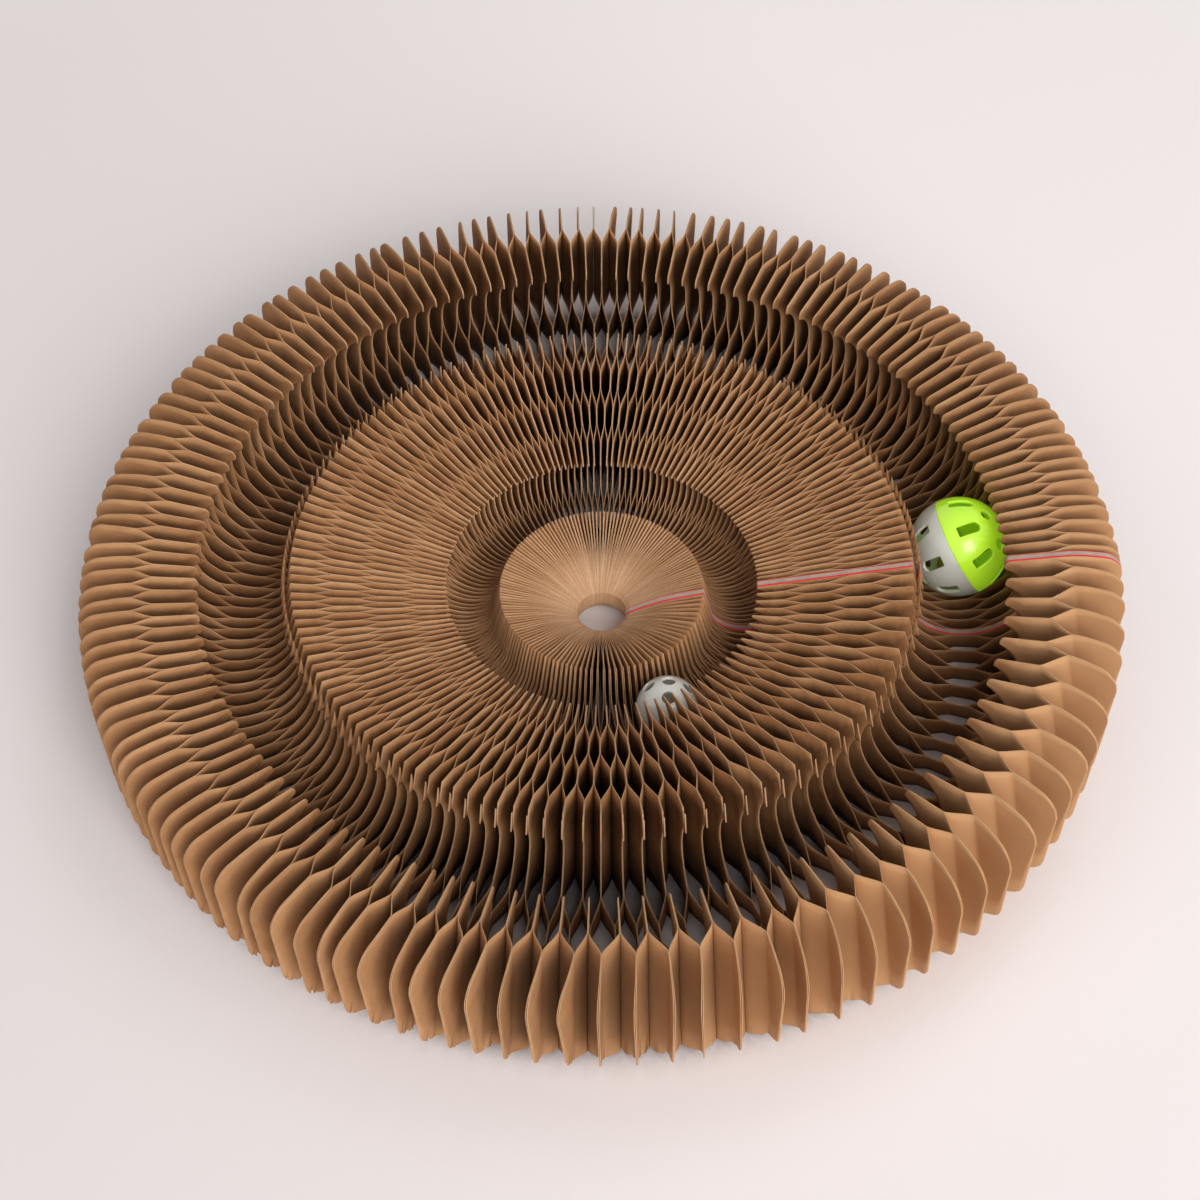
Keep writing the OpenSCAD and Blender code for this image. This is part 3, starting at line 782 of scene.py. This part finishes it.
def moulded(name, first, second, through, painted_glow):
    """Glossy moulded plastic: a faint cloud of pigment, fine flow marks in the gloss and a clear surface.

    Some light passes through. The outer skin has a painted glow in its own colour: on the green one it stands
    in for fluorescence, and the white one gets a faint one too."""
    made, shader, place = finish(name)
    cloud, fine_mark = place.noise(60.0, 3.0), place.noise(900.0, 3.0)
    colour = cloud.ramp(0.3, 0.7).tint(first, second)
    feed(shader, "Base Color", colour)
    feed(shader, "Roughness", 0.20 + fine_mark * 0.10)
    feed(shader, "Normal", fine_mark.bump(0.05, 0.0001))
    # painted glow: emission in the plastic's own colour, kept to the outer skin
    feed(shader, "Emission Color", place.mark("outer").tint(BLACK, colour))
    for socket, value in (("Emission Strength", painted_glow), ("Specular IOR Level", 0.8), ("Coat Weight", 1.0),
                          ("Coat Roughness", 0.08)):
        shader.inputs[socket].default_value = value
    glow = place.node("ShaderNodeBsdfTranslucent", None, {"Color": colour})
    opaque = Wire(place.tree, shader.outputs[0])
    blend = place.node("ShaderNodeMixShader", None, {0: through, 1: opaque, 2: glow})
    feed(next(n for n in place.tree.nodes if n.type == "OUTPUT_MATERIAL"), "Surface", blend)
    return made


# the green's painted glow stands in for its fluorescence; the white's is a faint painted glow
green_plastic = moulded("green_plastic", srgb(200, 242, 44), srgb(212, 248, 70), 0.35, 0.36)
white_plastic = moulded("white_plastic", srgb(224, 222, 214), srgb(234, 232, 226), 0.3, 0.04)
LARGE_DEG, SMALL_DEG = 11.0, -61.2  # where the balls lie, anticlockwise from the seam
LARGE_AT = turned(2, LARGE_DEG) @ np.array([188.3, 0, 36.3])
SMALL_AT = turned(2, SMALL_DEG) @ np.array([74.3, 0, 23.8])
LARGE_TURN, SMALL_TURN, UPSIDE = turned(2, LARGE_DEG) @ turned(1, 59.0), turned(0, -21.0), turned(0, 180.0)
for name, node, body, shell, turn, place, stock, slot in (
        ("large_shell_green", "large_ball_green", "large_ball", large_half(22.5),
         LARGE_TURN, LARGE_AT, green_plastic, "green_plastic"),
        ("large_shell_white", "large_ball_white", "large_ball", large_half(0.0),
         LARGE_TURN @ UPSIDE, LARGE_AT, white_plastic, "white_plastic"),
        ("small_shell_top", "small_ball_top", "small_ball", small_half(-90.0),
         SMALL_TURN, SMALL_AT, white_plastic, "white_plastic"),
        ("small_shell_base", "small_ball_base", "small_ball", small_half(45.0),
         SMALL_TURN @ UPSIDE, SMALL_AT, white_plastic, "white_plastic")):
    points, quads = shell
    reach = np.linalg.norm(points, axis=1)
    # this mark keeps the painted glow on the outer skin
    marks = {"outer": np.interp(reach, [reach.max() - 0.6, reach.max() - 0.3], [0.15, 1.0])}
    only, smooth = np.zeros(len(quads)), np.ones(len(quads), bool)
    piece = make_mesh(name, (points @ turn.T + place) * MM, quads, [stock], only, smooth, None, marks)
    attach(piece, body)
    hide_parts(node)
    print(name, len(points), "points", len(quads), "quads")

# %% [markdown]
# ## Bells
# Inside each ball lies a small pressed brass bell with a steel pellet. They show only as a glint through the
# windows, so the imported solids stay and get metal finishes.

# %% Bells and pellets
def metal(name, first, second, rough):
    """Bare sheet metal: a slow tarnish cloud in colour and gloss."""
    made, shader, place = finish(name)
    tarnish = place.noise(320.0, 4.0)
    feed(shader, "Base Color", tarnish.ramp(0.35, 0.7).tint(first, second))
    feed(shader, "Roughness", rough + tarnish * 0.2)
    shader.inputs["Metallic"].default_value = 1.0
    return made


brass = metal("brass", srgb(204, 164, 84), srgb(176, 132, 60), 0.22)
steel = metal("steel", srgb(176, 178, 182), srgb(150, 152, 156), 0.2)
for node, stock in (("large_bell", brass), ("small_bell", brass),
                    ("large_pellet", steel), ("small_pellet", steel)):
    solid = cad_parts[node]
    solid.data.materials.clear()
    solid.data.materials.append(stock)
print("bells finished")

# %% [markdown]
# ## Stage
# A pale table under six large soft lamps, of which only the key lamp at the front right shows as a highlight,
# with a little even light from all around. Three things about the table are paint, not light. Seen by the
# camera it is a little brighter towards the right, as in the picture. Under the near half of the ring it is
# dark where the paper covers it, because the picture shows dark cells there. Far from the ring it passes into
# the colour of the backdrop, so that a low view has a pale background too.

# %% Table and backdrop
BACKDROP, SKY = (0.82, 0.808, 0.804, 1), (0.15, 0.14775, 0.147, 1)
TABLE_HALF, COVER_REACH = 4, 0.06
LIFT, LIFT_SIDE, NEAR_SIDE = (0.14, 0.1365, 0.138, 1), (0.87, 0.5, 0.0), (0.0, -1.0, 0.0)


def seen_directly(tree):
    """1 for what the camera sees, straight, in a mirror or through glass, and 0 for what lights the object."""
    ray = tree.nodes.new("ShaderNodeLightPath").outputs
    straight, mirrored, through = (Wire(tree, ray[f"Is {kind} Ray"])
                                   for kind in ("Camera", "Glossy", "Transmission"))
    return straight + mirrored + through


def table_top():
    """A flat square at the height of the paper's lowest edge."""
    h = TABLE_HALF
    mesh = bpy.data.meshes.new("table")
    mesh.from_pydata([(-h, -h, 0), (h, -h, 0), (h, h, 0), (-h, h, 0)], [], [(0, 1, 2, 3)])
    made = bpy.data.objects.new("table", mesh)
    bpy.context.scene.collection.objects.link(made)
    surface, shader, place = finish("table_top")
    pale = place.noise(1.5, 2.0).ramp(0.3, 0.7).tint(srgb(238, 230, 229), srgb(241, 233, 232))
    far = place.node("ShaderNodeVectorMath", {"operation": "LENGTH"}, {0: place}, 1).ramp(0.62, 1.5)
    free = place.node("ShaderNodeAmbientOcclusion", {"samples": 8}, {"Distance": COVER_REACH}, 1)
    shade = (1.0 - free.ramp(0.1, 0.34)) * place.reach(NEAR_SIDE).ramp(0.03, 0.09)
    feed(shader, "Base Color", shade.tint(far.tint(pale, srgb(20, 20, 20)), srgb(44, 30, 22)))
    lift = (free.ramp(0.35, 0.95) * place.reach(LIFT_SIDE).ramp(-0.35, 0.35)).tint(BLACK, LIFT)
    feed(shader, "Emission Color", seen_directly(place.tree).tint(BLACK, far.tint(lift, BACKDROP)))
    shader.inputs["Emission Strength"].default_value = 1.0
    shader.inputs["Roughness"].default_value = 0.9
    mesh.materials.append(surface)
    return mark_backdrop(made)


table_top()
world = bpy.data.worlds.new("studio")
world.use_nodes = True
feed(world.node_tree.nodes["Background"], "Color", seen_directly(world.node_tree).tint(SKY, BACKDROP))
bpy.context.scene.world = world
bpy.context.scene.view_settings.view_transform = "Standard"
print("table", 2 * TABLE_HALF, "m wide")

# %% Lamps
LAMP_SIZE, LAMP_COLOUR = 2.7, (1.0, 0.995, 0.99)


def lamp(name, place, power, mirrored):
    """A square soft lamp that points at the ring; only a mirrored one shows as a highlight."""
    data = bpy.data.lights.new(name, "AREA")
    data.size, data.energy, data.color = LAMP_SIZE, power, LAMP_COLOUR
    made = bpy.data.objects.new(name, data)
    bpy.context.scene.collection.objects.link(made)
    made.location, made.visible_glossy = place, mirrored
    yaw, pitch = math.atan2(place[0], -place[1]), math.atan2(place[2], math.hypot(place[0], place[1]))
    made.rotation_euler = (math.pi / 2 - pitch, 0, yaw)
    print("lamp", name, power, "W")


lamp("key", (1.70, -3.64, 4.46), 120, True)
lamp("low", (2.72, -4.71, 2.54), 160, False)
lamp("front", (0.0, -5.20, 3.0), 60, False)
lamp("side", (3.98, -2.30, 3.86), 43, False)
lamp("back", (1.72, 2.98, 4.92), 48, False)
lamp("left", (-3.98, -2.30, 3.86), 38, False)
